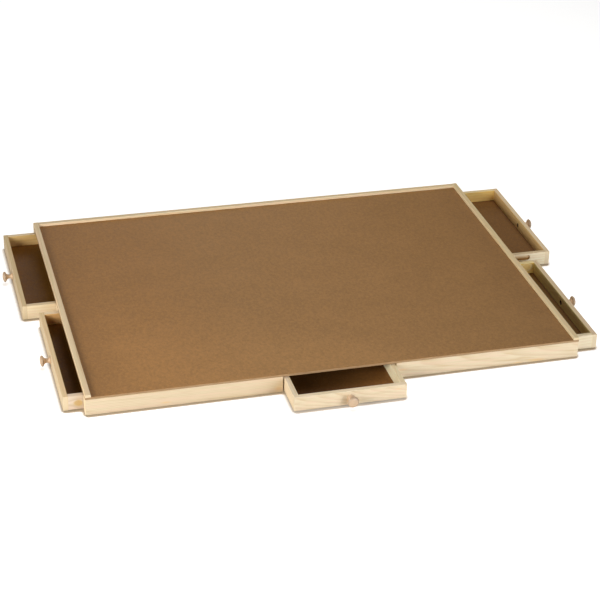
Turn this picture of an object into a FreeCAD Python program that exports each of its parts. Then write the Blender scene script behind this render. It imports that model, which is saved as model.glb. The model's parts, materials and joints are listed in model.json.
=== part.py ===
import FreeCAD, Part
import math
import os
from FreeCAD import Vector

# Low puzzle board: a pine frame under a thin hardboard work panel, bordered on three sides,
# with five drawers that hang on runners. Millimetres. The origin is the middle of the board
# on the surface it lies on, +X to the right, +Y to the back, +Z up.

# board
board_width = 890.0
board_depth = 660.0
rail_height = 31.0
rail_thickness = 18.0
beam_thickness = 18.0
divider_thickness = 24.0
panel_thickness = 4.0
panel_edge = 0.4
strip_width = 10.0
strip_height = 5.0
strip_round = 1.2
rail_easing = 0.7

# bays and drawers
front_bay_width = 205.0
side_gap = 2.5
closed_gap = 0.5
drawer_lift = 1.6
drawer_height = 27.2
wall = 9.0
wall_easing = 0.6

# drawer bottoms and the grooves that hold them
bottom_thickness = 3.0
bottom_lip = 1.6
bottom_groove_height = 3.2
bottom_groove_depth = 4.0
bottom_slack = 0.4

# runners and the grooves that ride on them
groove_height = 10.0
groove_depth = 4.5
groove_below_top = 3.3
groove_stop = 75.0
long_groove_stop = 41.0
runner_play = 0.3
runner_height = 9.2
runner_slack = 0.75
runner_set_back = 82.0
runner_end_gap = 4.0
runner_lead_in = 2.5

# knobs and their screws
knob_length = 19.0
knob_head_radius = 10.0
knob_head_thickness = 6.5
knob_neck_radius = 3.9
knob_foot_radius = 6.6
knob_foot_height = 1.2
knob_sides = 32
pilot_radius = 1.6
pilot_depth = 12.0
screw_radius = 1.5
screw_reach = 11.0
screw_hole_radius = 2.0
counterbore_radius = 4.4
counterbore_depth = 3.0
screw_head_radius = 3.5
screw_head_height = 2.1
screw_sides = 16
recess_width = 0.9
recess_span = 3.8
recess_depth = 1.2

# how far each drawer stands open at rest
left_back_open = 62.0
left_front_open = 35.0
right_back_open = 84.0
right_front_open = 45.0
front_open = 67.0

half_width = board_width / 2
half_depth = board_depth / 2
beam_face = front_bay_width / 2
beam_back = beam_face + beam_thickness
bay_length = (board_depth - 2 * rail_thickness - divider_thickness) / 2
bay_middle = (divider_thickness + bay_length) / 2
side_drawer_width = bay_length - 2 * side_gap
side_drawer_depth = half_width - beam_back - closed_gap
front_drawer_width = front_bay_width - 2 * side_gap
front_drawer_depth = half_depth - divider_thickness / 2 - closed_gap
drawer_top = drawer_lift + drawer_height
knob_height = drawer_lift + drawer_height / 2
groove_top = drawer_top - groove_below_top
bottom_level = drawer_lift + bottom_lip


# Each drawer is drawn closed in front of a person who faces it: x to the right, y into the bay
# from the flush face, z up. front is where the middle of its closed face lies on the board,
# turn is how far the drawer is turned about Z, and drawn is how far it stands open.
class Drawer:
    def __init__(self, width, depth, front, turn, drawn, left_stop=groove_stop):
        self.width = width
        self.depth = depth
        self.front = front
        self.turn = turn
        self.drawn = drawn
        self.left_stop = left_stop

    def on_board(self, shape, drawn=0.0):
        moved = shape.copy()
        moved.translate(Vector(0, -drawn, 0))
        moved.rotate(Vector(0, 0, 0), Vector(0, 0, 1), self.turn)
        moved.translate(self.front)
        return moved


def side_drawer(side, row, drawn, left_stop=groove_stop):
    front = Vector(side * half_width, row * bay_middle, 0)
    return Drawer(side_drawer_width, side_drawer_depth, front, side * 90, drawn, left_stop)


front_middle = Vector(0, -half_depth, 0)
drawers = {
    "front_drawer": Drawer(front_drawer_width, front_drawer_depth, front_middle, 0, front_open),
    "left_front_drawer": side_drawer(-1, -1, left_front_open),
    "left_back_drawer": side_drawer(-1, 1, left_back_open),
    "right_front_drawer": side_drawer(1, -1, right_front_open),
    "right_back_drawer": side_drawer(1, 1, right_back_open, long_groove_stop),
}


def box(x0, x1, y0, y1, z0, z1):
    return Part.makeBox(x1 - x0, y1 - y0, z1 - z0, Vector(x0, y0, z0))


def outline_face(points):
    return Part.Face(Part.makePolygon(points + points[:1]))


# A board with its four long edges eased, as planed stock has. along is "x" or "y".
def eased_board(x0, x1, y0, y1, z0, z1, along, easing):
    if along == "x":
        low, high = y0, y1
    else:
        low, high = x0, x1
    corners = [
        (low + easing, z0), (high - easing, z0), (high, z0 + easing), (high, z1 - easing),
        (high - easing, z1), (low + easing, z1), (low, z1 - easing), (low, z0 + easing),
    ]
    if along == "x":
        section = [Vector(x0, across, z) for across, z in corners]
        return outline_face(section).extrude(Vector(x1 - x0, 0, 0))
    section = [Vector(across, y0, z) for across, z in corners]
    return outline_face(section).extrude(Vector(0, y1 - y0, 0))


# A border strip with both upper edges rounded. along is "x" or "y", low and high are its width.
def border_strip(start, end, low, high, along):
    z0 = rail_height + panel_thickness
    z1 = z0 + strip_height
    shoulder = z1 - strip_round
    lift = strip_round * math.sqrt(0.5)

    def point(across, z):
        if along == "x":
            return Vector(start, across, z)
        return Vector(across, start, z)

    left_crown = point(low + strip_round - lift, shoulder + lift)
    right_crown = point(high - strip_round + lift, shoulder + lift)
    edges = [
        Part.LineSegment(point(low, z0), point(high, z0)).toShape(),
        Part.LineSegment(point(high, z0), point(high, shoulder)).toShape(),
        Part.Arc(point(high, shoulder), right_crown, point(high - strip_round, z1)).toShape(),
        Part.LineSegment(point(high - strip_round, z1), point(low + strip_round, z1)).toShape(),
        Part.Arc(point(low + strip_round, z1), left_crown, point(low, shoulder)).toShape(),
        Part.LineSegment(point(low, shoulder), point(low, z0)).toShape(),
    ]
    length = end - start
    run = Vector(length, 0, 0) if along == "x" else Vector(0, length, 0)
    return Part.Face(Part.Wire(edges)).extrude(run)


def work_panel():
    top = rail_height + panel_thickness
    panel = box(-half_width, half_width, -half_depth, half_depth, rail_height, top)
    rim = [edge for edge in panel.Edges if all(abs(v.Z - top) < 1e-6 for v in edge.Vertexes)]
    return panel.makeChamfer(panel_edge, rim)


# Rails, beams and dividers stand on the surface and carry the panel.
def frame_pieces():
    inner_y = half_depth - rail_thickness
    divider_half = divider_thickness / 2

    def lengthways(x0, x1, y0, y1):
        return eased_board(x0, x1, y0, y1, 0, rail_height, "x", rail_easing)

    def front_to_back(x0, x1):
        return eased_board(x0, x1, -inner_y, inner_y, 0, rail_height, "y", rail_easing)

    return {
        "front_rail_left": lengthways(-half_width, -beam_face, -half_depth, -inner_y),
        "front_rail_right": lengthways(beam_face, half_width, -half_depth, -inner_y),
        "back_rail": lengthways(-half_width, half_width, inner_y, half_depth),
        "beam_left": front_to_back(-beam_back, -beam_face),
        "beam_right": front_to_back(beam_face, beam_back),
        "divider_left": lengthways(-half_width, -beam_back, -divider_half, divider_half),
        "divider_right": lengthways(beam_back, half_width, -divider_half, divider_half),
        "centre_rail": lengthways(-beam_face, beam_face, -divider_half, divider_half),
    }


def border_strips():
    inner_x = half_width - strip_width
    return {
        "border_strip_left": border_strip(-half_depth, half_depth, -half_width, -inner_x, "y"),
        "border_strip_right": border_strip(-half_depth, half_depth, inner_x, half_width, "y"),
        "border_strip_back": border_strip(-inner_x, inner_x, half_depth - strip_width, half_depth, "x"),
    }


# The strip that a drawer's groove rides on, fixed to the wall of the bay at x = side * wall_x.
# Its front end is tapered to lead the groove on.
def runner(drawer, side):
    wall_x = side * (drawer.width / 2 + side_gap)
    tip_x = side * (drawer.width / 2 - groove_depth + runner_slack)
    front = runner_set_back
    back = drawer.depth + closed_gap - runner_end_gap
    level = groove_top - runner_play - runner_height
    outline = [
        Vector(wall_x, front, level),
        Vector(tip_x + side * runner_lead_in, front, level),
        Vector(tip_x, front + 2 * runner_lead_in, level),
        Vector(tip_x, back, level),
        Vector(wall_x, back, level),
    ]
    return outline_face(outline).extrude(Vector(0, 0, runner_height))


def bottom_groove(drawer):
    reach_x = drawer.width / 2 - wall + bottom_groove_depth
    front = wall - bottom_groove_depth
    top = bottom_level + bottom_groove_height
    return box(-reach_x, reach_x, front, drawer.depth + 1, bottom_level, top)


# The face is as wide as the drawer and covers the ends of the sides.
def drawer_face(drawer):
    half = drawer.width / 2
    board = eased_board(-half, half, 0, wall, drawer_lift, drawer_top, "x", wall_easing)
    centre = Vector(0, 0, knob_height)
    inward = Vector(0, 1, 0)
    hole = Part.makeCylinder(screw_hole_radius, wall, centre, inward)
    counterbore_start = Vector(0, wall - counterbore_depth, knob_height)
    counterbore = Part.makeCylinder(counterbore_radius, counterbore_depth, counterbore_start, inward)
    return board.cut(bottom_groove(drawer)).cut(hole.fuse(counterbore))


# A slot with the round end that the cutter leaves, open at the back of the drawer.
def runner_groove(drawer, side, stop):
    radius = groove_height / 2
    low = groove_top - groove_height
    round_start = stop + radius
    end = drawer.depth + 1

    def point(y, z):
        return Vector(side * drawer.width / 2, y, z)

    edges = [
        Part.LineSegment(point(end, groove_top), point(round_start, groove_top)).toShape(),
        Part.Arc(point(round_start, groove_top), point(stop, low + radius), point(round_start, low)).toShape(),
        Part.LineSegment(point(round_start, low), point(end, low)).toShape(),
        Part.LineSegment(point(end, low), point(end, groove_top)).toShape(),
    ]
    return Part.Face(Part.Wire(edges)).extrude(Vector(-side * groove_depth, 0, 0))


def drawer_side(drawer, side, stop):
    outer = side * drawer.width / 2
    inner = outer - side * wall
    low = min(outer, inner)
    high = max(outer, inner)
    board = eased_board(low, high, wall, drawer.depth, drawer_lift, drawer_top, "y", wall_easing)
    return board.cut(bottom_groove(drawer)).cut(runner_groove(drawer, side, stop))


# The back stands between the sides, on the bottom's rear edge.
def drawer_back(drawer):
    half = drawer.width / 2 - wall
    front = drawer.depth - wall
    board = eased_board(-half, half, front, drawer.depth, drawer_lift, drawer_top, "x", wall_easing)
    reach = half + 1
    rear = front + bottom_groove_depth
    groove = box(-reach, reach, front - 1, rear, bottom_level, bottom_level + bottom_groove_height)
    return board.cut(groove)


def drawer_bottom(drawer):
    half = drawer.width / 2 - wall + bottom_groove_depth - bottom_slack
    front = wall - bottom_groove_depth + bottom_slack
    back = drawer.depth - wall + bottom_groove_depth - bottom_slack
    return box(-half, half, front, back, bottom_level, bottom_level + bottom_thickness)


# The points of a round stretch of an outline, as so many straight chords.
def arc_points(start, through, end, chords):
    return Part.Arc(start, through, end).toShape().discretize(Number=chords + 1)


# Turns an outline, drawn in the XY plane, about the Y axis. The piece has flat sides in place
# of round ones, which keeps small pieces light.
def turned(outline, sides):
    rings = []
    for point in outline:
        ring = []
        for side in range(sides):
            angle = 2 * math.pi * side / sides
            ring.append(Vector(point.x * math.cos(angle), point.y, point.x * math.sin(angle)))
        rings.append(ring)
    faces = [outline_face(rings[0]), outline_face(rings[-1])]
    for near, far in zip(rings, rings[1:]):
        for side in range(sides):
            faces.append(outline_face([near[side - 1], near[side], far[side], far[side - 1]]))
    shell = Part.makeShell(faces)
    shell.sewShape()
    return Part.Solid(shell)


# Turned knob: a flared foot on the drawer face, a narrow neck and a domed head.
def knob():
    head_back = knob_length - knob_head_thickness
    rim_out = head_back + 0.45 * knob_head_thickness
    crown_out = knob_length - 0.12 * knob_head_thickness

    def point(radius, out):
        return Vector(radius, -out, 0)

    foot = point(knob_foot_radius, knob_foot_height)
    neck = point(knob_neck_radius, 0.55 * head_back)
    under_head = point(0.8 * knob_head_radius, head_back)
    round_of_rim = point(0.96 * knob_head_radius, head_back + 0.16 * knob_head_thickness)
    rim = point(knob_head_radius, rim_out)
    crown = point(0.5 * knob_head_radius, crown_out)
    outline = [point(knob_foot_radius, 0)]
    outline += arc_points(foot, neck, under_head, 6)
    outline += [round_of_rim]
    outline += arc_points(rim, point(0.9 * knob_head_radius, (rim_out + crown_out) / 2), crown, 3)
    outline += [point(0.15 * knob_head_radius, knob_length)]
    solid = turned(outline, knob_sides)
    pilot_hole = Part.makeCylinder(pilot_radius, pilot_depth, Vector(0, 0, 0), Vector(0, -1, 0))
    solid = solid.cut(pilot_hole)
    solid.translate(Vector(0, 0, knob_height))
    return solid


# Round-headed screw with a cross recess; its head sits on the floor of the counterbore.
def knob_screw():
    seat = wall - counterbore_depth
    top = seat + screw_head_height
    shoulder = Vector(screw_head_radius, seat + 0.4 * screw_head_height, 0)
    crown = Vector(0.6 * screw_head_radius, top, 0)
    round_of_head = Vector(0.9 * screw_head_radius, seat + 0.8 * screw_head_height, 0)
    outline = [
        Vector(0.3 * screw_radius, -screw_reach, 0),
        Vector(screw_radius, 1.5 * screw_radius - screw_reach, 0),
        Vector(screw_radius, seat, 0),
        Vector(screw_head_radius, seat, 0),
    ]
    outline += arc_points(shoulder, round_of_head, crown, 2)
    screw = turned(outline, screw_sides)
    half_slot = recess_width / 2
    half_span = recess_span / 2
    floor = top - recess_depth
    upright = box(-half_slot, half_slot, floor, top + 1, -half_span, half_span)
    level = box(-half_span, half_span, floor, top + 1, -half_slot, half_slot)
    screw = screw.cut(upright.fuse(level))
    screw.translate(Vector(0, 0, knob_height))
    return screw


def drawer_pieces(drawer):
    return {
        "face": drawer_face(drawer),
        "left_side": drawer_side(drawer, -1, drawer.left_stop),
        "right_side": drawer_side(drawer, 1, groove_stop),
        "back": drawer_back(drawer),
        "bottom": drawer_bottom(drawer),
        "knob": knob(),
        "knob_screw": knob_screw(),
    }


def whole_board():
    nodes = {"work_panel": work_panel()}
    nodes.update(frame_pieces())
    nodes.update(border_strips())
    for name, drawer in drawers.items():
        nodes[name + "_left_runner"] = drawer.on_board(runner(drawer, -1))
        nodes[name + "_right_runner"] = drawer.on_board(runner(drawer, 1))
        for piece, shape in drawer_pieces(drawer).items():
            nodes[name + "_" + piece] = drawer.on_board(shape, drawer.drawn)
    return nodes


os.makedirs("parts", exist_ok=True)
for node, shape in whole_board().items():
    shape.exportStep(os.path.join("parts", node + ".step"))
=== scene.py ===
import bpy
import json
import math
from mathutils import Matrix, Vector

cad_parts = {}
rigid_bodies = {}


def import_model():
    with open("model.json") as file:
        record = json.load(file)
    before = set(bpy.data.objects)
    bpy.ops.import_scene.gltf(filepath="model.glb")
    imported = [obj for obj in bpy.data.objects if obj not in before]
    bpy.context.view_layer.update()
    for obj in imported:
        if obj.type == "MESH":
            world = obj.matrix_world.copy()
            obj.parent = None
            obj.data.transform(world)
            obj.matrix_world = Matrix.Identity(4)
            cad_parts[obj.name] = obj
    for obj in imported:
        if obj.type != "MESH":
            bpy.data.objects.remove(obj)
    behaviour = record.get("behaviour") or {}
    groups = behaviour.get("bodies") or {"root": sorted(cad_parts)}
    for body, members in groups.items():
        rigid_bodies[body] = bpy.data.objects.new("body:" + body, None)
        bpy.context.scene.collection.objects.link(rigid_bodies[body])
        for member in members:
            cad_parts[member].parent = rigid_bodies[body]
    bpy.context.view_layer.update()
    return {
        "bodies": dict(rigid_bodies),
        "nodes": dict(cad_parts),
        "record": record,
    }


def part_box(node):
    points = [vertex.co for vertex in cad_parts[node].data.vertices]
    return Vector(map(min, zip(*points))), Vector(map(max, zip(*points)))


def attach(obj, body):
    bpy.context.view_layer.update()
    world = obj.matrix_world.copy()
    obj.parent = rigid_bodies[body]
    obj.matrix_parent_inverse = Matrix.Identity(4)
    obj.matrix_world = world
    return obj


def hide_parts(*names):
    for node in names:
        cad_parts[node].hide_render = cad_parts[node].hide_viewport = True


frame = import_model()
bpy.ops.object.select_all(action="DESELECT")
bpy.context.scene.view_settings.view_transform = "Standard"
print("frame loaded:", len(frame["nodes"]), "nodes")

mm = 0.001
drawerNames = [name for name in frame["bodies"] if name.endswith("drawer")]
slotOfNode = {part["node"]: part["material_slot"] for part in frame["record"]["subparts"]}


# short forms for building shader trees

def fillSockets(tree, made, values):
    for socket, value in values.items():
        if isinstance(value, bpy.types.NodeSocket):
            tree.links.new(value, made.inputs[socket])
        else:
            made.inputs[socket].default_value = value


def addNode(tree, kind, inputs=None, **settings):
    made = tree.nodes.new(kind)
    for name, value in settings.items():
        setattr(made, name, value)
    fillSockets(tree, made, inputs or {})
    return made


def maths(tree, operation, first, second=0.0, third=0.0):
    return addNode(tree, "ShaderNodeMath", {0: first, 1: second, 2: third}, operation=operation).outputs[0]


def vectorMaths(tree, operation, first, second=(0.0, 0.0, 0.0)):
    made = addNode(tree, "ShaderNodeVectorMath", {0: first, 1: second}, operation=operation)
    return made.outputs["Value"] if operation in ("LENGTH", "DOT_PRODUCT") else made.outputs["Vector"]


def times(tree, *masks):
    product = masks[0]
    for mask in masks[1:]:
        product = maths(tree, "MULTIPLY", product, mask)
    return product


def splitAxes(tree, vector):
    return addNode(tree, "ShaderNodeSeparateXYZ", {0: vector}).outputs


# makes a vector from the given axes, numbered 0 to 2; the others stay 0
def joinAxes(tree, values):
    return addNode(tree, "ShaderNodeCombineXYZ", values).outputs[0]


def objectPosition(tree):
    return tree.nodes.new("ShaderNodeTexCoord").outputs["Object"]


def noise(tree, position, stretch, detail=2.0, roughness=0.5):
    scaled = vectorMaths(tree, "MULTIPLY", position, stretch)
    return addNode(tree, "ShaderNodeTexNoise", {"Vector": scaled, "Scale": 1.0, "Detail": detail,
                                                "Roughness": roughness})


def ramp(tree, value, start, end, startOut=0.0, endOut=1.0):
    made = addNode(tree, "ShaderNodeMapRange", {"Value": value, "From Min": start, "From Max": end,
                                                "To Min": startOut, "To Max": endOut},
                   interpolation_type="SMOOTHSTEP")
    return made.outputs[0]


def mixColours(tree, factor, first, second, blend="MIX"):
    made = addNode(tree, "ShaderNodeMix", {0: factor, 6: first, 7: second}, data_type="RGBA",
                   blend_type=blend)
    return made.outputs[2]


def tinted(tree, amount, colour, tint):
    return mixColours(tree, amount, colour, tint, blend="MULTIPLY")


def newGroup(name, inputs, outputs):
    tree = bpy.data.node_groups.new(name, "ShaderNodeTree")
    for socketName, kind, value in inputs:
        socket = tree.interface.new_socket(socketName, in_out="INPUT", socket_type="NodeSocket" + kind)
        socket.default_value = value
    for socketName, kind in outputs:
        tree.interface.new_socket(socketName, in_out="OUTPUT", socket_type="NodeSocket" + kind)
    return tree, tree.nodes.new("NodeGroupInput").outputs, tree.nodes.new("NodeGroupOutput").inputs


def useGroup(tree, group, inputs):
    made = tree.nodes.new("ShaderNodeGroup")
    made.node_tree = group
    fillSockets(tree, made, inputs)
    return made.outputs


def newMaterial(name):
    material = bpy.data.materials.new(name)
    material.use_nodes = True
    tree = material.node_tree
    tree.nodes.clear()
    shader = tree.nodes.new("ShaderNodeBsdfPrincipled")
    output = tree.nodes.new("ShaderNodeOutputMaterial")
    tree.links.new(shader.outputs["BSDF"], output.inputs["Surface"])
    return material, tree, shader


# how close a point is to a board's long edges, and whether it lies on sawn end grain

def makeBoardEdges():
    tree, given, result = newGroup("board edges", [
        ("Position", "Vector", (0, 0, 0)), ("Half size", "Vector", (0.1, 0.01, 0.01)),
        ("Wear width", "Float", 0.0015),
    ], [("Wear", "Float"), ("End grain", "Float")])
    depth = vectorMaths(tree, "SUBTRACT", given["Half size"],
                        vectorMaths(tree, "ABSOLUTE", given["Position"]))
    axes = splitAxes(tree, depth)
    least = maths(tree, "MINIMUM", maths(tree, "MINIMUM", axes[0], axes[1]), axes[2])
    most = maths(tree, "MAXIMUM", maths(tree, "MAXIMUM", axes[0], axes[1]), axes[2])
    total = maths(tree, "ADD", maths(tree, "ADD", axes[0], axes[1]), axes[2])
    toEdge = maths(tree, "SUBTRACT", maths(tree, "SUBTRACT", total, least), most)
    patchy = noise(tree, given["Position"], (60, 240, 240), detail=3).outputs[0]
    reach = maths(tree, "MULTIPLY", given["Wear width"], ramp(tree, patchy, 0.3, 0.7, 0.3, 1.2))
    tree.links.new(ramp(tree, maths(tree, "DIVIDE", toEdge, reach), 1.0, 0.2), result["Wear"])
    tree.links.new(ramp(tree, axes[0], 0.0003, 0.0001), result["End grain"])
    return tree


# growth rings of a board cut beside the heart of its tree; the board runs along X

def makeGrain():
    tree, given, result = newGroup("wood grain", [
        ("Position", "Vector", (0, 0, 0)), ("Heart", "Vector", (0, 0.03, 0.02)), ("Slant", "Float", 0.02),
        ("Ring width", "Float", 0.004), ("Waviness", "Float", 0.006), ("Seed", "Vector", (0, 0, 0)),
    ], [("Rings", "Float"), ("Streaks", "Float"), ("Fibres", "Float"), ("Tone", "Float")])
    seeded = vectorMaths(tree, "ADD", given["Position"], given["Seed"])
    wander = vectorMaths(tree, "SUBTRACT", noise(tree, seeded, (2.2, 9, 9), detail=1).outputs["Color"],
                         (0.5, 0.5, 0.5))
    waviness = joinAxes(tree, {1: given["Waviness"], 2: given["Waviness"]})
    wavy = vectorMaths(tree, "ADD", given["Position"], vectorMaths(tree, "MULTIPLY", wander, waviness))
    fromHeart = vectorMaths(tree, "SUBTRACT", wavy, given["Heart"])
    axes = splitAxes(tree, fromHeart)
    lean = maths(tree, "MULTIPLY", axes[0], given["Slant"])
    radius = vectorMaths(tree, "LENGTH", joinAxes(tree, {1: maths(tree, "ADD", axes[1], lean), 2: axes[2]}))
    years = maths(tree, "DIVIDE", radius, given["Ring width"])
    uneven = noise(tree, seeded, (4, 40, 40), detail=1).outputs[0]
    years = maths(tree, "ADD", years, maths(tree, "MULTIPLY", uneven, 0.9))
    season = maths(tree, "FRACT", years)
    rings = maths(tree, "MULTIPLY", maths(tree, "POWER", season, 2.0), ramp(tree, season, 1.0, 0.86))
    tree.links.new(rings, result["Rings"])
    leaning = vectorMaths(tree, "ADD", seeded, joinAxes(tree, {1: lean, 2: lean}))
    tree.links.new(noise(tree, leaning, (6, 250, 250), detail=2).outputs[0], result["Streaks"])
    tree.links.new(noise(tree, seeded, (25, 900, 900), detail=3, roughness=0.6).outputs[0], result["Fibres"])
    tree.links.new(noise(tree, seeded, (3, 55, 55), detail=2).outputs[0], result["Tone"])
    return tree


# a knot that goes through the board's thickness; the grain is pushed aside round it

def makeKnot():
    tree, given, result = newGroup("knot", [
        ("Position", "Vector", (0, 0, 0)), ("Place", "Vector", (0, 0, 0)), ("Radius", "Float", 0.006),
    ], [("Position", "Vector"), ("Knot", "Float"), ("Rim", "Float")])
    offset = vectorMaths(tree, "SUBTRACT", given["Position"], given["Place"])
    flat = vectorMaths(tree, "MULTIPLY", offset, (0.75, 0, 1))
    ragged = noise(tree, offset, (170, 60, 170), detail=2).outputs[0]
    size = maths(tree, "DIVIDE", vectorMaths(tree, "LENGTH", flat), given["Radius"])
    away = maths(tree, "ADD", size, maths(tree, "MULTIPLY_ADD", ragged, 0.5, -0.25))
    push = maths(tree, "EXPONENT", times(tree, size, size, -0.16))
    aside = splitAxes(tree, offset)[2]
    moved = joinAxes(tree, {2: times(tree, aside, push, -0.8)})
    tree.links.new(vectorMaths(tree, "ADD", given["Position"], moved), result["Position"])
    tree.links.new(ramp(tree, away, 1.15, 0.75), result["Knot"])
    tree.links.new(times(tree, ramp(tree, away, 0.7, 1.0), ramp(tree, away, 1.5, 1.05)), result["Rim"])
    return tree


boardEdges = makeBoardEdges()
woodGrain = makeGrain()
woodKnot = makeKnot()

# colours of planed pine; each board's own tone makes them paler or darker
pine = {
    "early": (0.80, 0.66, 0.44),
    "late": (0.67, 0.475, 0.25),
    "warm": (0.76, 0.585, 0.355),
    "blush": (0.82, 0.60, 0.405),
    "fibre": (0.64, 0.45, 0.24),
    "wear": (0.82, 0.68, 0.47),
    "knot": (0.70, 0.45, 0.15),
    "knotRim": (0.74, 0.53, 0.25),
    "resin": (0.84, 0.55, 0.24),
}

# the same for every board; golden, counterboreShade and grooveShade multiply the colour below them:
# golden tints whole boards and is the usual painted warm shade on faces inside the drawers,
# counterboreShade is painted shade in the screw's counterbore and grooveShade painted shade in the
# runner's groove
pineMarks = {
    "endGrain": (0.80, 0.64, 0.41, 1),
    "golden": (0.96, 0.80, 0.46, 1),
    "counterboreShade": (0.16, 0.11, 0.07, 1),
    "grooveShade": (0.60, 0.385, 0.17, 1),
    "palest": 0.9,
    "ringWidth": 4.4,
}

# how single boards were cut from the tree: heart is the middle of the tree, across and up from the
# middle of the board, and ringWidth a year's growth, both in mm; slant is how fast the grain runs off
# the line of the board; tone is how pale the board is beside the others; golden is how yellow it is all
# over; tint multiplies the colour of the whole board; top multiplies its upper edge, as painted light
# where above 1 and painted shade where below 1; inside is how much painted light, mostly a painted warm
# shade, lies on the face that looks into the drawer, and insideLightTint is its colour
cuts = {
    "border_strip_left": {
        "heart": (30, 70), "slant": 0.01, "ringWidth": 3.4, "tone": 1.05, "golden": 0.1},
    "border_strip_right": {
        "heart": (-30, 70), "slant": 0.01, "ringWidth": 3.4, "tone": 1.2, "golden": 0.3,
        "top": (0.85, 0.85, 0.85, 1)},
    "border_strip_back": {
        "heart": (-34, 60), "slant": 0.02, "ringWidth": 3.8, "tone": 1.14, "golden": 0.15,
        "top": (0.87, 0.88, 0.87, 1)},
    "front_rail_left": {
        "heart": (12, 90), "slant": 0.025, "ringWidth": 2.9, "tone": 1.0},
    "front_rail_right": {
        "heart": (48, 16), "slant": 0.05, "ringWidth": 3.6, "tone": 1.02},
    "front_drawer_face": {
        "heart": (44, 20), "slant": 0.09, "ringWidth": 3.0, "tone": 1.05,
        "top": (1.12, 1.16, 1.22, 1)},
    "front_drawer_left_side": {
        "heart": (30, 44), "slant": 0.01, "ringWidth": 4.4, "tone": 1.08,
        "tint": (0.98, 1.0, 1.05, 1), "top": (1.04, 1.07, 1.12, 1)},
    "front_drawer_right_side": {
        "heart": (30, -26), "slant": 0.12, "ringWidth": 3.6, "tone": 1.28, "inside": 0.1,
        "top": (0.96, 0.89, 0.85, 1), "insideLightTint": (1.08, 1.02, 0.99, 1)},
    "left_front_drawer_face": {
        "heart": (-24, 34), "slant": 0.02, "ringWidth": 4.0, "tone": 0.87, "golden": 0.1,
        "top": (1.18, 1.13, 1.0, 1)},
    "left_front_drawer_left_side": {
        "heart": (34, -20), "slant": 0.015, "ringWidth": 4.4, "tone": 1.12,
        "insideLightTint": (1.0, 0.72, 0.41, 1)},
    "left_front_drawer_right_side": {
        "heart": (30, 40), "slant": 0.02, "ringWidth": 5.0, "tone": 0.97,
        "tint": (0.99, 0.99, 1.1, 1)},
    "left_back_drawer_face": {
        "heart": (-30, -36), "slant": 0.02, "ringWidth": 3.8, "tone": 0.82, "golden": 0.1,
        "top": (1.1, 1.06, 0.93, 1)},
    "left_back_drawer_right_side": {
        "heart": (44, 50), "slant": 0.01, "ringWidth": 3.6, "tone": 1.16,
        "top": (0.84, 0.82, 0.8, 1)},
    "right_front_drawer_face": {
        "heart": (34, -30), "slant": 0.015, "ringWidth": 4.4, "tone": 1.08,
        "insideLightTint": (1.04, 1.05, 0.7, 1), "top": (0.9, 0.89, 0.91, 1)},
    "right_front_drawer_left_side": {
        "heart": (30, -34), "slant": 0.03, "ringWidth": 4.6, "tone": 1.15,
        "tint": (1.0, 1.04, 1.07, 1)},
    "right_front_drawer_right_side": {
        "heart": (24, 30), "slant": 0.02, "ringWidth": 4.6, "tone": 1.3, "golden": 0.5,
        "insideLightTint": (1.0, 0.83, 0.40, 1)},
    "right_back_drawer_face": {
        "heart": (28, -30), "slant": 0.01, "ringWidth": 4.4, "tone": 1.0,
        "insideLightTint": (0.97, 0.83, 0.53, 1)},
    "right_back_drawer_left_side": {
        "heart": (34, -40), "slant": 0.02, "ringWidth": 4.2, "tone": 1.16,
        "tint": (0.98, 1.02, 1.06, 1), "top": (0.8, 0.74, 0.66, 1)},
    "right_back_drawer_right_side": {
        "heart": (20, 60), "slant": 0.01, "ringWidth": 6.0, "tone": 1.24, "golden": 0.25,
        "insideLightTint": (1.0, 0.80, 0.39, 1)},
}

# knots: place along the board and up it, from its middle, and radius, in mm
knots = {
    "left_front_drawer_right_side": [(-140, -1, 5.0)],
    "right_front_drawer_right_side": [(143, 5, 7.0)],
}

# resin streaks: place as above, half their length and half their height, in mm
resin = {
    "front_rail_left": [(-34, -8, 16, 4), (163, -8, 11, 8)],
    "front_rail_right": [(92, -12, 26, 5), (-160, 1, 16, 2.5), (58, -13, 14, 3)],
    "front_drawer_face": [(84, 6, 14, 2.5)],
    "left_front_drawer_face": [(-96, 8, 14, 5), (-60, 4, 12, 4)],
}

# hollows in the drawers' boards, in mm: the screw's counterbore is sunk in the middle of a face from
# inside, and the runner's groove runs along the outside of a side, its height counted from the middle
counterbore = {"radius": 4.4, "depth": 3.0}
groove = {"depth": 4.5, "bottom": 0.2, "top": 10.2}


# number of the axis that a board runs along
def alongAxis(node):
    low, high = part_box(node)
    size = high - low
    return max(range(3), key=lambda axis: size[axis])


# position on a board, from its middle, turned so that X runs along it; and its half size the same way
def boardPosition(tree, node):
    low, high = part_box(node)
    middle, half = (low + high) / 2, (high - low) / 2
    turn = 0.0
    if alongAxis(node) == 1:
        turn = -math.pi / 2
        middle = Vector((middle.y, -middle.x, middle.z))
        half = Vector((half.y, half.x, half.z))
    mapping = addNode(tree, "ShaderNodeMapping", {"Vector": objectPosition(tree), "Rotation": (0, 0, turn),
                                                  "Location": -middle})
    return mapping.outputs[0], half


# how far a point of a drawer's board lies towards the inside of the drawer from the board's middle
def towardsInside(tree, node, position):
    drawer = next((name for name in drawerNames if node.startswith(name)), None)
    if not drawer:
        return None
    low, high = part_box(node)
    bottomLow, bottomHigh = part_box(drawer + "_bottom")
    inward = (bottomLow + bottomHigh - low - high) / 2
    across = -inward.x if alongAxis(node) == 1 else inward.y
    return maths(tree, "MULTIPLY", splitAxes(tree, position)[1], math.copysign(1, across))


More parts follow.
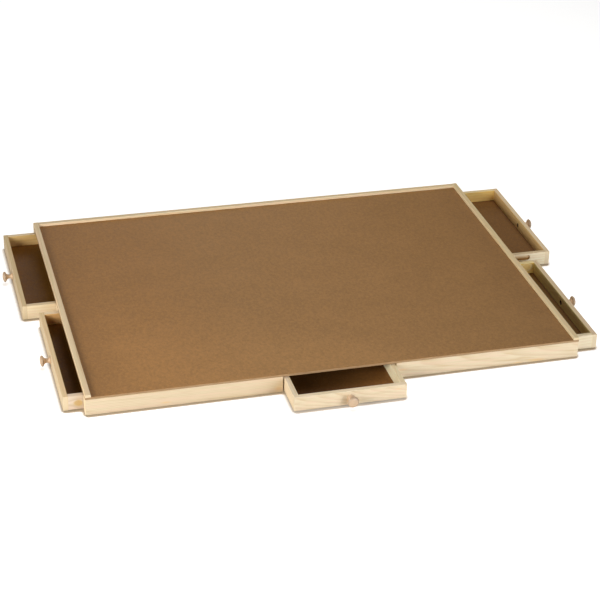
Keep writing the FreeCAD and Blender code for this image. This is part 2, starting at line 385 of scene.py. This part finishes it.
# painted shade in the screw's counterbore
def counterboreShadeMask(tree, position, inner, half):
    axes = splitAxes(tree, position)
    fromMiddle = vectorMaths(tree, "LENGTH", joinAxes(tree, {0: axes[0], 1: axes[2]}))
    radius, depth = counterbore["radius"], counterbore["depth"]
    return times(tree, ramp(tree, fromMiddle, (radius + 0.3) * mm, (radius + 0.1) * mm),
                 ramp(tree, inner, half.y - 0.1 * mm, half.y - 0.3 * mm),
                 ramp(tree, inner, half.y - (depth + 0.4) * mm, half.y - (depth + 0.1) * mm))


# painted shade in the groove on the outside of a drawer's side, darkest on its lower wall
def grooveShadeMask(tree, position, inner, half):
    height = splitAxes(tree, position)[2]
    depth, bottom, top = groove["depth"], groove["bottom"], groove["top"]
    return times(tree, ramp(tree, inner, 0.3 * mm - half.y, 0.8 * mm - half.y),
                 ramp(tree, inner, (depth + 0.4) * mm - half.y, (depth + 0.1) * mm - half.y),
                 ramp(tree, height, (bottom - 0.3) * mm, bottom * mm),
                 ramp(tree, height, (top + 0.4) * mm, (top + 0.2) * mm),
                 ramp(tree, height, 7.5 * mm, 0.5 * mm, 0.05, 1.0))


# a board that isn't in cuts is cut as its number has it
def cutOf(node, number):
    side = 1 if number % 2 else -1
    usual = {"heart": (side * (22 + 6 * (number % 5)), 20 * (number % 4 - 1.5)),
             "slant": 0.03 - 0.015 * (number % 5), "ringWidth": pineMarks["ringWidth"],
             "tone": 0.97 + 0.015 * (number % 4)}
    return cuts.get(node, usual)


def pineMaterial(node, number):
    material, tree, shader = newMaterial("pine " + node)
    position, half = boardPosition(tree, node)
    edges = useGroup(tree, boardEdges, {"Position": position, "Half size": half})
    inner = towardsInside(tree, node, position)
    cut = cutOf(node, number)
    wood = {name: tuple(min(channel * cut["tone"], pineMarks["palest"]) for channel in value) + (1,)
            for name, value in pine.items()}
    grainPosition = position
    for along, up, radius in knots.get(node, []):
        knot = useGroup(tree, woodKnot, {"Position": position, "Radius": radius * mm,
                                         "Place": (along * mm, 0, up * mm)})
        grainPosition = knot["Position"]
    across, up = cut["heart"]
    grain = useGroup(tree, woodGrain, {
        "Position": grainPosition, "Heart": (0, across * mm, up * mm), "Slant": cut["slant"],
        "Ring width": cut["ringWidth"] * mm, "Seed": (0.37 * number, 0.11 * number, 0),
    })

    # the wood itself
    colour = mixColours(tree, times(tree, grain["Rings"], 0.85), wood["early"], wood["late"])
    colour = mixColours(tree, ramp(tree, grain["Tone"], 0.4, 0.75, 0, 0.7), colour, wood["warm"])
    colour = mixColours(tree, ramp(tree, grain["Streaks"], 0.45, 0.65, 0, 0.6), colour, wood["blush"])
    colour = mixColours(tree, ramp(tree, grain["Streaks"], 0.45, 0.3, 0, 0.5), colour, wood["late"])
    colour = mixColours(tree, ramp(tree, grain["Fibres"], 0.5, 0.75, 0, 0.45), colour, wood["fibre"])
    colour = mixColours(tree, times(tree, edges["End grain"], 0.8), colour, pineMarks["endGrain"])
    colour = mixColours(tree, times(tree, edges["Wear"], 0.3), colour, wood["wear"])

    # the tints of this board
    if "tint" in cut:
        colour = tinted(tree, 1.0, colour, cut["tint"])
    if "golden" in cut:
        colour = tinted(tree, cut["golden"], colour, pineMarks["golden"])
    # painted light on the face that looks into the drawer, mostly a painted warm shade
    if inner:
        paintedInsideLight = ramp(tree, inner, half.y - 0.7 * mm, half.y - 0.2 * mm, 0, cut.get("inside", 1.0))
        colour = tinted(tree, paintedInsideLight, colour, cut.get("insideLightTint", pineMarks["golden"]))
    for along, up, reach, rise in resin.get(node, []):
        offset = vectorMaths(tree, "SUBTRACT", position, (along * mm, 0, up * mm))
        spread = vectorMaths(tree, "MULTIPLY", offset, (1 / (reach * mm), 0, 1 / (rise * mm)))
        ragged = maths(tree, "ADD", vectorMaths(tree, "LENGTH", spread), grain["Streaks"])
        colour = mixColours(tree, ramp(tree, ragged, 1.5, 0.5, 0, 0.6), colour, wood["resin"])
    # painted light where top is above 1 and painted shade where it is below 1, on the board's upper edge
    if "top" in cut:
        paintedTopShading = ramp(tree, splitAxes(tree, position)[2], half.z - 0.5 * mm, half.z - 0.1 * mm)
        colour = tinted(tree, paintedTopShading, colour, cut["top"])
    if knots.get(node):
        colour = mixColours(tree, times(tree, knot["Rim"], 0.7), colour, wood["knotRim"])
        colour = mixColours(tree, times(tree, knot["Knot"], 0.8), colour, wood["knot"])
    # painted shade in the screw's counterbore
    if node.endswith("_face"):
        colour = tinted(tree, counterboreShadeMask(tree, position, inner, half), colour, pineMarks["counterboreShade"])
    # painted shade in the runner's groove, darkest on its lower wall
    if inner and node.endswith("_side"):
        colour = tinted(tree, grooveShadeMask(tree, position, inner, half), colour, pineMarks["grooveShade"])
    tree.links.new(colour, shader.inputs["Base Color"])

    tree.links.new(ramp(tree, grain["Rings"], 0.0, 0.9, 0.62, 0.5), shader.inputs["Roughness"])
    height = maths(tree, "ADD", times(tree, grain["Fibres"], 0.6), times(tree, grain["Rings"], 0.5))
    bump = addNode(tree, "ShaderNodeBump", {"Height": height, "Strength": 0.25, "Distance": 0.0003})
    tree.links.new(bump.outputs[0], shader.inputs["Normal"])
    shader.inputs["Specular IOR Level"].default_value = 0.35
    return material


# pressed wood fibre: smooth and brown on its faces, paler where it is cut

hardboard = {
    "panel": {"dark": (0.290, 0.148, 0.047, 1), "light": (0.440, 0.229, 0.078, 1)},
    # the bottoms are the panel's hardboard painted darker: painted shade inside the drawers
    "bottom": {"dark": (0.178, 0.079, 0.018, 1), "light": (0.262, 0.124, 0.032, 1)},
    "fleck": (0.50, 0.29, 0.125, 1),
    "cut": (0.47, 0.30, 0.155, 1),
    "cutDark": (0.36, 0.21, 0.095, 1),
}

# painted shade in the drawers: these multiply the colour of the whole of one drawer's bottom
paintedBottomShade = {
    "front_drawer_bottom": (0.85, 0.78, 0.7, 1),
    "left_front_drawer_bottom": (0.76, 0.65, 0.15, 1),
    "left_back_drawer_bottom": (0.91, 0.80, 0.33, 1),
    "right_front_drawer_bottom": (0.84, 0.84, 0.55, 1),
}

# painted light and shade, and a tint, on hardboard: each comes in between two places, in metres from the
# middle of the board to its right; paintedFalloff is painted fall-off of light towards the right,
# darkerSides darkens towards either side, paintedLightPool is a painted pool of light towards the front
# left corner, and redder is a redder tint towards the left
paintedLightAndTint = {
    "paintedFalloff": {"from": 0.0, "to": 0.45, "amount": 0.7, "tint": (0.8, 0.79, 0.75, 1)},
    "darkerSides": {"from": 0.34, "to": 0.43, "tint": (0.91, 0.9, 0.9, 1)},
    "paintedLightPool": {"from": 0.1, "to": 0.42, "tint": (1.16, 1.16, 1.16, 1)},
    "redder": {"from": -0.08, "to": -0.33, "tint": (1.0, 0.95, 0.89, 1)},
}

# painted light and shadow on the front drawer's bottom: painted light at its front right and painted
# shadow at its back left; along and inward are how fast it changes to the right and away from the face,
# per metre
paintedBottomLight = {
    "along": 11.1, "inward": -8.3, "from": -0.8, "to": 0.7,
    "shaded": (0.52, 0.46, 0.25, 1), "paintedLit": (1.38, 1.4, 1.42, 1),
}


def makeFibreboard():
    tree, given, result = newGroup("pressed fibre", [("Position", "Vector", (0, 0, 0))],
                                   [("Clouds", "Float"), ("Mottle", "Float"), ("Flecks", "Float"),
                                    ("Layers", "Float")])
    position = given["Position"]
    tree.links.new(noise(tree, position, (9, 14, 9), detail=2).outputs[0], result["Clouds"])
    tree.links.new(noise(tree, position, (210, 150, 210), detail=5, roughness=0.75).outputs[0],
                   result["Mottle"])
    curl = vectorMaths(tree, "MULTIPLY", noise(tree, position, (150, 150, 150), detail=1).outputs["Color"],
                       (0.005, 0.005, 0.005))
    curled = vectorMaths(tree, "ADD", position, curl)
    lengthways = noise(tree, curled, (300, 1700, 700), detail=1).outputs[0]
    crossways = noise(tree, curled, (1700, 300, 700), detail=1).outputs[0]
    tree.links.new(maths(tree, "MAXIMUM", lengthways, crossways), result["Flecks"])
    tree.links.new(noise(tree, position, (90, 90, 2400), detail=3).outputs[0], result["Layers"])
    return tree


pressedFibre = makeFibreboard()


# painted light and shade on hardboard, and a redder tint towards the left
def applyPaintedLightAndTint(tree, colour, axes):
    gradient = paintedLightAndTint["paintedFalloff"]
    colour = tinted(tree, ramp(tree, axes[0], gradient["from"], gradient["to"], 0, gradient["amount"]), colour, gradient["tint"])
    gradient = paintedLightAndTint["darkerSides"]
    toSide = ramp(tree, maths(tree, "ABSOLUTE", axes[0]), gradient["from"], gradient["to"])
    colour = tinted(tree, toSide, colour, gradient["tint"])
    gradient = paintedLightAndTint["paintedLightPool"]
    toCorner = maths(tree, "MULTIPLY_ADD", axes[0], -0.5, maths(tree, "MULTIPLY", axes[1], -1.0))
    paintedLightPool = times(tree, ramp(tree, toCorner, gradient["from"], gradient["to"]),
                  ramp(tree, axes[0], -0.45, -0.33, 0.2, 1.0))
    colour = tinted(tree, paintedLightPool, colour, gradient["tint"])
    gradient = paintedLightAndTint["redder"]
    return tinted(tree, ramp(tree, axes[0], gradient["from"], gradient["to"]), colour, gradient["tint"])


def applyPaintedBottomLight(tree, colour, axes, half):
    inward = maths(tree, "MULTIPLY_ADD", axes[1], paintedBottomLight["inward"], paintedBottomLight["inward"] * half.y)
    toLight = maths(tree, "MULTIPLY_ADD", axes[0], paintedBottomLight["along"], inward)
    inLight = ramp(tree, toLight, paintedBottomLight["from"], paintedBottomLight["to"])
    return tinted(tree, 1.0, colour, mixColours(tree, inLight, paintedBottomLight["shaded"], paintedBottomLight["paintedLit"]))


def hardboardMaterial(node):
    material, tree, shader = newMaterial("hardboard " + node)
    # bottoms take the darker colours, a painted shade
    face = hardboard["bottom" if node.endswith("_bottom") else "panel"]
    low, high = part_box(node)
    middle, half = (low + high) / 2, (high - low) / 2
    position = addNode(tree, "ShaderNodeMapping", {"Vector": objectPosition(tree),
                                                   "Location": -middle}).outputs[0]
    fibre = useGroup(tree, pressedFibre, {"Position": position})
    edges = useGroup(tree, boardEdges, {"Position": position, "Half size": half, "Wear width": 0.0008})
    axes = splitAxes(tree, position)
    tone = maths(tree, "ADD", times(tree, fibre["Clouds"], 0.15), times(tree, fibre["Mottle"], 0.85))
    colour = mixColours(tree, ramp(tree, tone, 0.28, 0.72), face["dark"], face["light"])
    # painted fall-off of light, darker sides, a painted pool of light and a redder tint
    colour = applyPaintedLightAndTint(tree, colour, axes)
    # painted shade inside the drawer
    if node in paintedBottomShade:
        colour = tinted(tree, 1.0, colour, paintedBottomShade[node])
    # painted light and painted shadow across the front drawer's bottom
    if node == "front_drawer_bottom":
        colour = applyPaintedBottomLight(tree, colour, axes, half)
    colour = mixColours(tree, ramp(tree, fibre["Flecks"], 0.62, 0.8, 0, 0.4), colour, hardboard["fleck"])
    toFace = maths(tree, "SUBTRACT", half.z, maths(tree, "ABSOLUTE", axes[2]))
    sawn = mixColours(tree, ramp(tree, fibre["Layers"], 0.35, 0.65), hardboard["cut"], hardboard["cutDark"])
    colour = mixColours(tree, ramp(tree, toFace, 0.0001, 0.0004), colour, sawn)
    colour = mixColours(tree, times(tree, edges["Wear"], 0.35), colour, hardboard["fleck"])
    tree.links.new(colour, shader.inputs["Base Color"])
    tree.links.new(ramp(tree, fibre["Mottle"], 0.3, 0.7, 0.55, 0.7), shader.inputs["Roughness"])
    height = maths(tree, "ADD", fibre["Mottle"], times(tree, fibre["Flecks"], 0.5))
    bump = addNode(tree, "ShaderNodeBump", {"Height": height, "Strength": 0.2, "Distance": 0.0002})
    tree.links.new(bump.outputs[0], shader.inputs["Normal"])
    shader.inputs["Specular IOR Level"].default_value = 0.25
    return material


def paintNodes():
    for number, (name, piece) in enumerate(sorted(frame["nodes"].items())):
        if slotOfNode[name] == "pine":
            material = pineMaterial(name, number)
        elif slotOfNode[name] == "hardboard":
            material = hardboardMaterial(name)
        else:
            continue
        piece.data.materials.clear()
        piece.data.materials.append(material)


paintNodes()
print("boards and panels have their wood")


# turned pieces: one ring after another is extruded along Z and scaled, as on a lathe; an outline is a
# list of radius and height in mm

# points of an arc from start to end that goes through a third point
def arcPoints(start, through, end, steps):
    (ax, ay), (bx, by), (cx, cy) = start, through, end
    twice = 2 * (ax * (by - cy) + bx * (cy - ay) + cx * (ay - by))
    a, b, c = ax * ax + ay * ay, bx * bx + by * by, cx * cx + cy * cy
    middleX = (a * (by - cy) + b * (cy - ay) + c * (ay - by)) / twice
    middleY = (a * (cx - bx) + b * (ax - cx) + c * (bx - ax)) / twice
    radius = math.hypot(ax - middleX, ay - middleY)
    first, second, last = (math.atan2(y - middleY, x - middleX) for x, y in (start, through, end))
    sweep = math.remainder(second - first, math.tau) + math.remainder(last - second, math.tau)
    angles = [first + sweep * step / steps for step in range(steps + 1)]
    return [(middleX + radius * math.cos(angle), middleY + radius * math.sin(angle)) for angle in angles]


def turnOnLathe(name, outline, sides):
    startRadius, startHeight = outline[0]
    bpy.ops.mesh.primitive_circle_add(vertices=sides, radius=startRadius * mm, fill_type="NGON",
                                      location=(0, 0, startHeight * mm))
    piece = bpy.context.object
    piece.name = name
    bpy.ops.object.transform_apply(location=True, rotation=True, scale=True)
    bpy.ops.object.mode_set(mode="EDIT")
    bpy.ops.mesh.select_all(action="SELECT")
    for (oldRadius, oldHeight), (radius, height) in zip(outline, outline[1:]):
        rise = (0, 0, (height - oldHeight) * mm)
        bpy.ops.mesh.extrude_region_move(TRANSFORM_OT_translate={"value": rise})
        grow = radius / oldRadius
        bpy.ops.transform.resize(value=(grow, grow, 1), center_override=(0, 0, height * mm))
    bpy.ops.mesh.select_all(action="SELECT")
    bpy.ops.mesh.normals_make_consistent(inside=False)
    bpy.ops.object.mode_set(mode="OBJECT")
    bpy.ops.object.shade_smooth_by_angle(angle=math.radians(32))
    return piece


# where a drawer's knob stands on its face, and the direction it points in
def pointingOut(drawer):
    faceLow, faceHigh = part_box(drawer + "_face")
    knobLow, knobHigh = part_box(drawer + "_knob")
    away = (knobLow + knobHigh - faceLow - faceHigh) / 2
    axis = max(range(3), key=lambda number: abs(away[number]))
    outward = Vector((0, 0, 0))
    outward[axis] = math.copysign(1, away[axis])
    foot = (knobLow + knobHigh) / 2 - outward * knob["length"] * mm / 2
    return foot, outward


# copies a piece that stands on the origin along Z, and points the copy another way
def placeCopy(master, name, place, direction):
    bpy.ops.object.select_all(action="DESELECT")
    master.select_set(True)
    bpy.context.view_layer.objects.active = master
    bpy.ops.object.duplicate(linked=False)
    piece = bpy.context.object
    piece.name = name
    piece.location = place
    piece.rotation_euler = direction.to_track_quat("Z", "Y").to_euler()
    bpy.ops.object.transform_apply(location=True, rotation=True, scale=True)
    bpy.ops.object.select_all(action="DESELECT")
    return piece


# position on a turned piece; X runs along its own line, from the place it was put down at
def turnedPosition(tree, place, direction):
    turn = direction.to_track_quat("X", "Z").inverted()
    return addNode(tree, "ShaderNodeMapping", {"Vector": objectPosition(tree), "Rotation": turn.to_euler(),
                                               "Location": -(turn @ place)}).outputs[0]


# distance from the line of a turned piece
def fromLine(tree, axes):
    return vectorMaths(tree, "LENGTH", joinAxes(tree, {1: axes[1], 2: axes[2]}))


# birch knobs: a flared foot, a narrow neck and a domed head; in mm

knob = {
    "length": 19.0, "headRadius": 10.0, "headThickness": 6.5, "neckRadius": 3.9,
    "footRadius": 6.6, "footHeight": 1.2, "footEasing": 0.35,
    "pilotRadius": 1.6, "pilotDepth": 12.0, "sides": 64,
}

birch = {
    "light": (0.71, 0.50, 0.31, 1),
    "dark": (0.58, 0.37, 0.21, 1),
    "fleck": (0.48, 0.28, 0.15, 1),
    "endGrain": (0.62, 0.41, 0.25, 1),
    # painted shade on the head's rim, where the dome turns away from the light; rim multiplies the colour
    # there
    "rim": (0.74, 0.74, 0.76, 1),
    "rimShadeFrom": 0.66,  # part of the head's radius where the dark rim starts, and where it is full
    "rimShadeTo": 0.93,
    "crownDepth": 2.2,
    "ringWidth": 2.4,
}


def knobOutline():
    length, head, thick = knob["length"], knob["headRadius"], knob["headThickness"]
    foot, easing, headBack = knob["footRadius"], knob["footEasing"], length - thick
    rim = (head, headBack + 0.45 * thick)
    crown = (0.5 * head, length - 0.12 * thick)
    shoulder = (0.9 * head, (rim[1] + crown[1]) / 2)
    outline = [(knob["pilotRadius"], knob["pilotDepth"]), (knob["pilotRadius"], 0)]
    outline += [(foot - easing, 0), (foot - 0.3 * easing, 0.3 * easing), (foot, easing)]
    outline += arcPoints((foot, knob["footHeight"]), (knob["neckRadius"], 0.55 * headBack),
                         (0.8 * head, headBack), 16)
    outline += arcPoints((0.88 * head, headBack + 0.05 * thick),
                         (0.96 * head, headBack + 0.16 * thick), rim, 6)
    outline += arcPoints(rim, shoulder, crown, 8)[1:]
    outline += arcPoints(crown, (0.26 * head, length - 0.03 * thick), (0.04 * head, length), 5)[1:]
    return outline


def birchMaterial(name, number, place, direction):
    material, tree, shader = newMaterial(name)
    position = turnedPosition(tree, place, direction)
    grain = useGroup(tree, woodGrain, {
        "Position": position, "Heart": (0, 0.02 + 0.004 * number, 0.015), "Slant": 0.08 * (number - 2),
        "Ring width": birch["ringWidth"] * mm, "Waviness": 0.002, "Seed": (0.21 * number, 0.4, 0.1 * number),
    })
    axes = splitAxes(tree, position)
    toolMarks = noise(tree, position, (5200, 12, 12), detail=1).outputs[0]
    pores = noise(tree, position, (260, 2600, 2600), detail=2).outputs[0]
    colour = mixColours(tree, times(tree, grain["Rings"], 0.6), birch["light"], birch["dark"])
    colour = mixColours(tree, ramp(tree, grain["Tone"], 0.4, 0.8, 0, 0.6), colour, birch["dark"])
    colour = mixColours(tree, ramp(tree, pores, 0.62, 0.78, 0, 0.5), colour, birch["fleck"])
    crown = ramp(tree, axes[0], (knob["length"] - birch["crownDepth"]) * mm, knob["length"] * mm)
    colour = mixColours(tree, times(tree, crown, 0.35), colour, birch["endGrain"])
    # painted shade on the head's rim
    rim = ramp(tree, fromLine(tree, axes), birch["rimShadeFrom"] * knob["headRadius"] * mm,
               birch["rimShadeTo"] * knob["headRadius"] * mm)
    colour = tinted(tree, rim, colour, birch["rim"])
    tree.links.new(colour, shader.inputs["Base Color"])
    tree.links.new(ramp(tree, toolMarks, 0.3, 0.7, 0.4, 0.52), shader.inputs["Roughness"])
    height = maths(tree, "SUBTRACT", times(tree, toolMarks, 0.5), times(tree, pores, 0.3))
    bump = addNode(tree, "ShaderNodeBump", {"Height": height, "Strength": 0.25, "Distance": 0.0002})
    tree.links.new(bump.outputs[0], shader.inputs["Normal"])
    shader.inputs["Coat Weight"].default_value = 0.3
    shader.inputs["Coat Roughness"].default_value = 0.22
    shader.inputs["Specular IOR Level"].default_value = 0.4
    return material


def makeKnobs():
    master = turnOnLathe("knobMaster", knobOutline(), knob["sides"])
    for number, drawer in enumerate(drawerNames):
        foot, outward = pointingOut(drawer)
        piece = placeCopy(master, drawer + "_turned_knob", foot, outward)
        piece.data.materials.append(birchMaterial("birch " + drawer, number, foot, outward))
        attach(piece, drawer)
        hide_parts(drawer + "_knob")
    bpy.data.objects.remove(master)


makeKnobs()
print("knobs are turned")


# screws that hold the knobs from inside: a domed head with a cross recess, and a wood thread; in mm,
# the heights from the outside of the drawer's face inwards

screw = {
    "seat": 6.0, "headRadius": 3.5, "headHeight": 2.1, "shankRadius": 1.45, "coreRadius": 1.0,
    "tipRadius": 0.12, "tipLength": 2.2, "threadRadius": 1.5, "pitch": 1.2, "turns": 9,
    "threadEnd": 2.4, "reach": 11.0, "sides": 48,
    "recessWidth": 0.9, "recessSpan": 3.8, "recessDepth": 1.2, "recessTaper": 0.6,
}

plating = {
    "bright": (0.10, 0.095, 0.09, 1),
    "dull": (0.05, 0.045, 0.04, 1),
    "recessDarkening": (0.015, 0.012, 0.01, 1),
}


def screwOutline():
    seat, top, head = screw["seat"], screw["seat"] + screw["headHeight"], screw["headRadius"]
    core, shank, end = screw["coreRadius"], screw["shankRadius"], screw["threadEnd"]
    shoulder = (head, seat + 0.3 * screw["headHeight"])
    outline = [(screw["tipRadius"], -screw["reach"]), (core, screw["tipLength"] - screw["reach"])]
    outline += [(core, end), (shank, end + 0.6)]
    outline += [(shank, seat), (head - 0.1, seat), (head, seat + 0.12)]
    outline += arcPoints(shoulder, (0.82 * head, seat + 0.74 * screw["headHeight"]),
                         (0.3 * head, top - 0.03), 8)
    return outline + [(0.1 * head, top)]


# a three-cornered ridge wound round the core
def makeThread():
    bpy.ops.object.select_all(action="DESELECT")
    height = screw["threadRadius"] - 0.8 * screw["coreRadius"]
    outer = screw["threadRadius"] - height * 2 / 3
    start = screw["threadEnd"] - screw["pitch"] * screw["turns"]
    bpy.ops.mesh.primitive_circle_add(vertices=3, radius=height * 2 / 3 * mm)
    thread = bpy.context.object
    bpy.ops.object.mode_set(mode="EDIT")
    bpy.ops.mesh.select_all(action="SELECT")
    bpy.ops.transform.rotate(value=math.pi / 2, orient_axis="Z", center_override=(0, 0, 0))
    bpy.ops.transform.rotate(value=math.pi / 2, orient_axis="X", center_override=(0, 0, 0))
    bpy.ops.transform.translate(value=(outer * mm, 0, start * mm))
    bpy.ops.object.mode_set(mode="OBJECT")
    winding = thread.modifiers.new("winding", "SCREW")
    winding.axis = "Z"
    winding.angle = math.tau
    winding.screw_offset = screw["pitch"] * mm
    winding.iterations = screw["turns"]
    winding.steps = winding.render_steps = 24
    bpy.ops.object.modifier_apply(modifier="winding")
    bpy.ops.object.mode_set(mode="EDIT")
    bpy.ops.mesh.select_all(action="SELECT")
    bpy.ops.mesh.fill_holes(sides=3)
    bpy.ops.mesh.normals_make_consistent(inside=False)
    bpy.ops.object.mode_set(mode="OBJECT")
    return thread


# one tapered arm of the cross, as a cutter
def makeRecessArm(span, width):
    bpy.ops.object.select_all(action="DESELECT")
    top = screw["seat"] + screw["headHeight"]
    floor = top - screw["recessDepth"]
    bpy.ops.mesh.primitive_cube_add(size=1, location=(0, 0, (floor + top + 1) / 2 * mm))
    arm = bpy.context.object
    arm.scale = (span * mm, width * mm, (top + 1 - floor) * mm)
    bpy.ops.object.transform_apply(location=True, rotation=True, scale=True)
    bpy.ops.object.mode_set(mode="EDIT")
    bpy.ops.mesh.select_mode(type="FACE")
    bpy.ops.mesh.select_all(action="DESELECT")
    bpy.ops.object.mode_set(mode="OBJECT")
    for face in arm.data.polygons:
        face.select = face.normal.z < -0.9
    bpy.ops.object.mode_set(mode="EDIT")
    taper = screw["recessTaper"]
    bpy.ops.transform.resize(value=(taper, taper, 1), center_override=(0, 0, floor * mm))
    bpy.ops.object.mode_set(mode="OBJECT")
    return arm


def makeScrewMaster():
    body = turnOnLathe("screwMaster", screwOutline(), screw["sides"])
    arms = [makeRecessArm(screw["recessSpan"], screw["recessWidth"]),
            makeRecessArm(screw["recessWidth"], screw["recessSpan"])]
    thread = makeThread()
    bpy.context.view_layer.objects.active = body
    for arm in arms:
        cut = body.modifiers.new("recess", "BOOLEAN")
        cut.operation = "DIFFERENCE"
        cut.object = arm
        bpy.ops.object.modifier_apply(modifier="recess")
        bpy.data.objects.remove(arm)
    bpy.ops.object.select_all(action="DESELECT")
    thread.select_set(True)
    body.select_set(True)
    bpy.ops.object.join()
    bpy.ops.object.shade_smooth_by_angle(angle=math.radians(32))
    return body


def platingMaterial(name, place, direction):
    material, tree, shader = newMaterial(name)
    position = turnedPosition(tree, place, direction)
    axes = splitAxes(tree, position)
    patches = noise(tree, position, (900, 900, 900), detail=3).outputs[0]
    scratches = noise(tree, position, (400, 5000, 5000), detail=2).outputs[0]
    seat, top, radius = screw["seat"], screw["seat"] + screw["headHeight"], screw["headRadius"]
    out = fromLine(tree, axes)
    colour = mixColours(tree, ramp(tree, patches, 0.35, 0.7), plating["bright"], plating["dull"])
    rim = ramp(tree, out, (radius - 0.5) * mm, radius * mm)
    colour = mixColours(tree, times(tree, rim, 0.5), colour, plating["bright"])
    # darker inside the cross recess
    sunk = times(tree, ramp(tree, axes[0], (top - 0.25) * mm, (top - 0.7) * mm),
                 ramp(tree, out, 0.65 * radius * mm, 0.45 * radius * mm))
    inHead = ramp(tree, axes[0], (seat - 0.1) * mm, seat * mm)
    colour = mixColours(tree, times(tree, sunk, inHead, 0.8), colour, plating["recessDarkening"])
    tree.links.new(colour, shader.inputs["Base Color"])
    tree.links.new(ramp(tree, scratches, 0.3, 0.7, 0.28, 0.45), shader.inputs["Roughness"])
    bump = addNode(tree, "ShaderNodeBump", {"Height": scratches, "Strength": 0.15, "Distance": 0.0001})
    tree.links.new(bump.outputs[0], shader.inputs["Normal"])
    shader.inputs["Metallic"].default_value = 1.0
    return material


def makeScrews():
    master = makeScrewMaster()
    for drawer in drawerNames:
        foot, outward = pointingOut(drawer)
        piece = placeCopy(master, drawer + "_cross_head_screw", foot, -outward)
        piece.data.materials.clear()
        piece.data.materials.append(platingMaterial("plated steel " + drawer, foot, -outward))
        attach(piece, drawer)
        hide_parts(drawer + "_knob_screw")
    bpy.data.objects.remove(master)


makeScrews()
print("screws are in")


# floor, light and camera, in metres and degrees, the lens in mm

# a pale floor that glows a little for the camera; where things stand on it, a painted brown contact
# shadow starts within its reach, looked for towards the back, and is softer where there is only the
# front drawer
floor = {
    "side": 30.0, "reach": 0.0098, "lookingTo": {1: 0.64, 2: 0.77},
    "colour": (0.86, 0.86, 0.86, 1), "contactShadow": (0.28, 0.22, 0.15, 1),
    "glow": (0.7, 0.7, 0.7, 1), "contactShadowGlow": (0.19, 0.14, 0.085, 1),
    "softness": 0.16, "softBefore": -0.345, "sharpBehind": -0.335,
}


def makeFloor():
    bpy.ops.mesh.primitive_plane_add(size=floor["side"], location=(0, 0, 0))
    plane = bpy.context.object
    plane.name = "floor"
    material, tree, shader = newMaterial("pale floor")
    shader.inputs["Roughness"].default_value = 0.9
    shader.inputs["Specular IOR Level"].default_value = 0.1
    clear = addNode(tree, "ShaderNodeAmbientOcclusion", {
        "Distance": floor["reach"], "Normal": joinAxes(tree, floor["lookingTo"])}).outputs["AO"]
    # painted contact shadow: darker where the floor is hemmed in by the pieces standing on it
    openness = ramp(tree, clear, 0.55, 1.0)
    softness = ramp(tree, splitAxes(tree, objectPosition(tree))[1], floor["softBefore"],
                    floor["sharpBehind"], floor["softness"], 0)
    openness = maths(tree, "ADD", openness, times(tree, softness, maths(tree, "SUBTRACT", 1, openness)))
    colour = mixColours(tree, openness, floor["contactShadow"], floor["colour"])
    glow = mixColours(tree, openness, floor["contactShadowGlow"], floor["glow"])
    seen = tree.nodes.new("ShaderNodeLightPath").outputs["Is Camera Ray"]
    tree.links.new(colour, shader.inputs["Base Color"])
    tree.links.new(glow, shader.inputs["Emission Color"])
    tree.links.new(seen, shader.inputs["Emission Strength"])
    plane.data.materials.append(material)
    bpy.ops.object.select_all(action="DESELECT")


makeFloor()

lights = {
    "left front": {"place": (-1.27, -0.9, 0.52), "side": 0.5, "watts": 6.3, "colour": (1, 1, 1)},
    "left back": {"place": (-1.27, -0.3, 0.52), "side": 0.5, "watts": 1.9, "colour": (1, 1, 1)},
    "far left": {"place": (-3.2, -1.4, 1.0), "side": 1.0, "watts": 42.0, "colour": (1, 1, 1)},
    "far left front": {"place": (-3.0, -3.2, 1.3), "side": 1.2, "watts": 17.0, "colour": (1, 1, 1)},
    "right front": {"place": (0.9, -1.9, 0.5), "side": 1.2, "watts": 25.0, "colour": (0.97, 1.03, 1.15)},
    "above": {"place": (0.0, 0.0, 1.6), "side": 1.2, "watts": 3.6, "colour": (1, 0.94, 0.83)},
    "above right": {"place": (0.7, 0.5, 1.4), "side": 0.8, "watts": 6.7, "colour": (1, 0.94, 0.83)},
    "behind": {"place": (0.3, 3.0, 1.4), "side": 1.2, "watts": 13.0, "colour": (1, 1, 1)},
}
sky = {"strength": 0.02, "seen": 0.9}  # how bright it lights the board, and how bright it looks


def makeLights():
    for name, values in lights.items():
        bpy.ops.object.light_add(type="AREA", location=values["place"])
        light = bpy.context.object
        light.name = name + " light"
        light.data.size = values["side"]
        light.data.energy = values["watts"]
        light.data.color = values["colour"]
        light.rotation_euler = (-Vector(values["place"])).to_track_quat("-Z", "Y").to_euler()
    world = bpy.data.worlds.new("soft room")
    world.use_nodes = True
    tree = world.node_tree
    background = tree.nodes["Background"]
    background.inputs["Color"].default_value = (1, 1, 1, 1)
    seen = tree.nodes.new("ShaderNodeLightPath").outputs["Is Camera Ray"]
    tree.links.new(ramp(tree, seen, 0.0, 1.0, sky["strength"], sky["seen"]), background.inputs["Strength"])
    bpy.context.scene.world = world
    bpy.ops.object.select_all(action="DESELECT")


makeLights()

camera = {
    "target": (0.0013624, -0.0547829, 0.02), "distance": 3.28567,
    "azimuth": -15.7841, "elevation": 29.0236, "roll": 1.6334, "lens": 105.552, "sensor": 36.0,
}


def makeCamera():
    around, above, roll = (math.radians(camera[key]) for key in ("azimuth", "elevation", "roll"))
    back = Vector((math.sin(around) * math.cos(above), -math.cos(around) * math.cos(above), math.sin(above)))
    bpy.ops.object.camera_add()
    made = bpy.context.object
    made.data.lens = camera["lens"]
    made.data.sensor_width = camera["sensor"]
    turned = (-back).to_track_quat("-Z", "Y").to_matrix().to_4x4() @ Matrix.Rotation(roll, 4, "Z")
    made.matrix_world = Matrix.Translation(Vector(camera["target"]) + back * camera["distance"]) @ turned
    made.data.clip_end = 60
    bpy.context.scene.camera = made


makeCamera()
print("floor, lights and camera are in place")
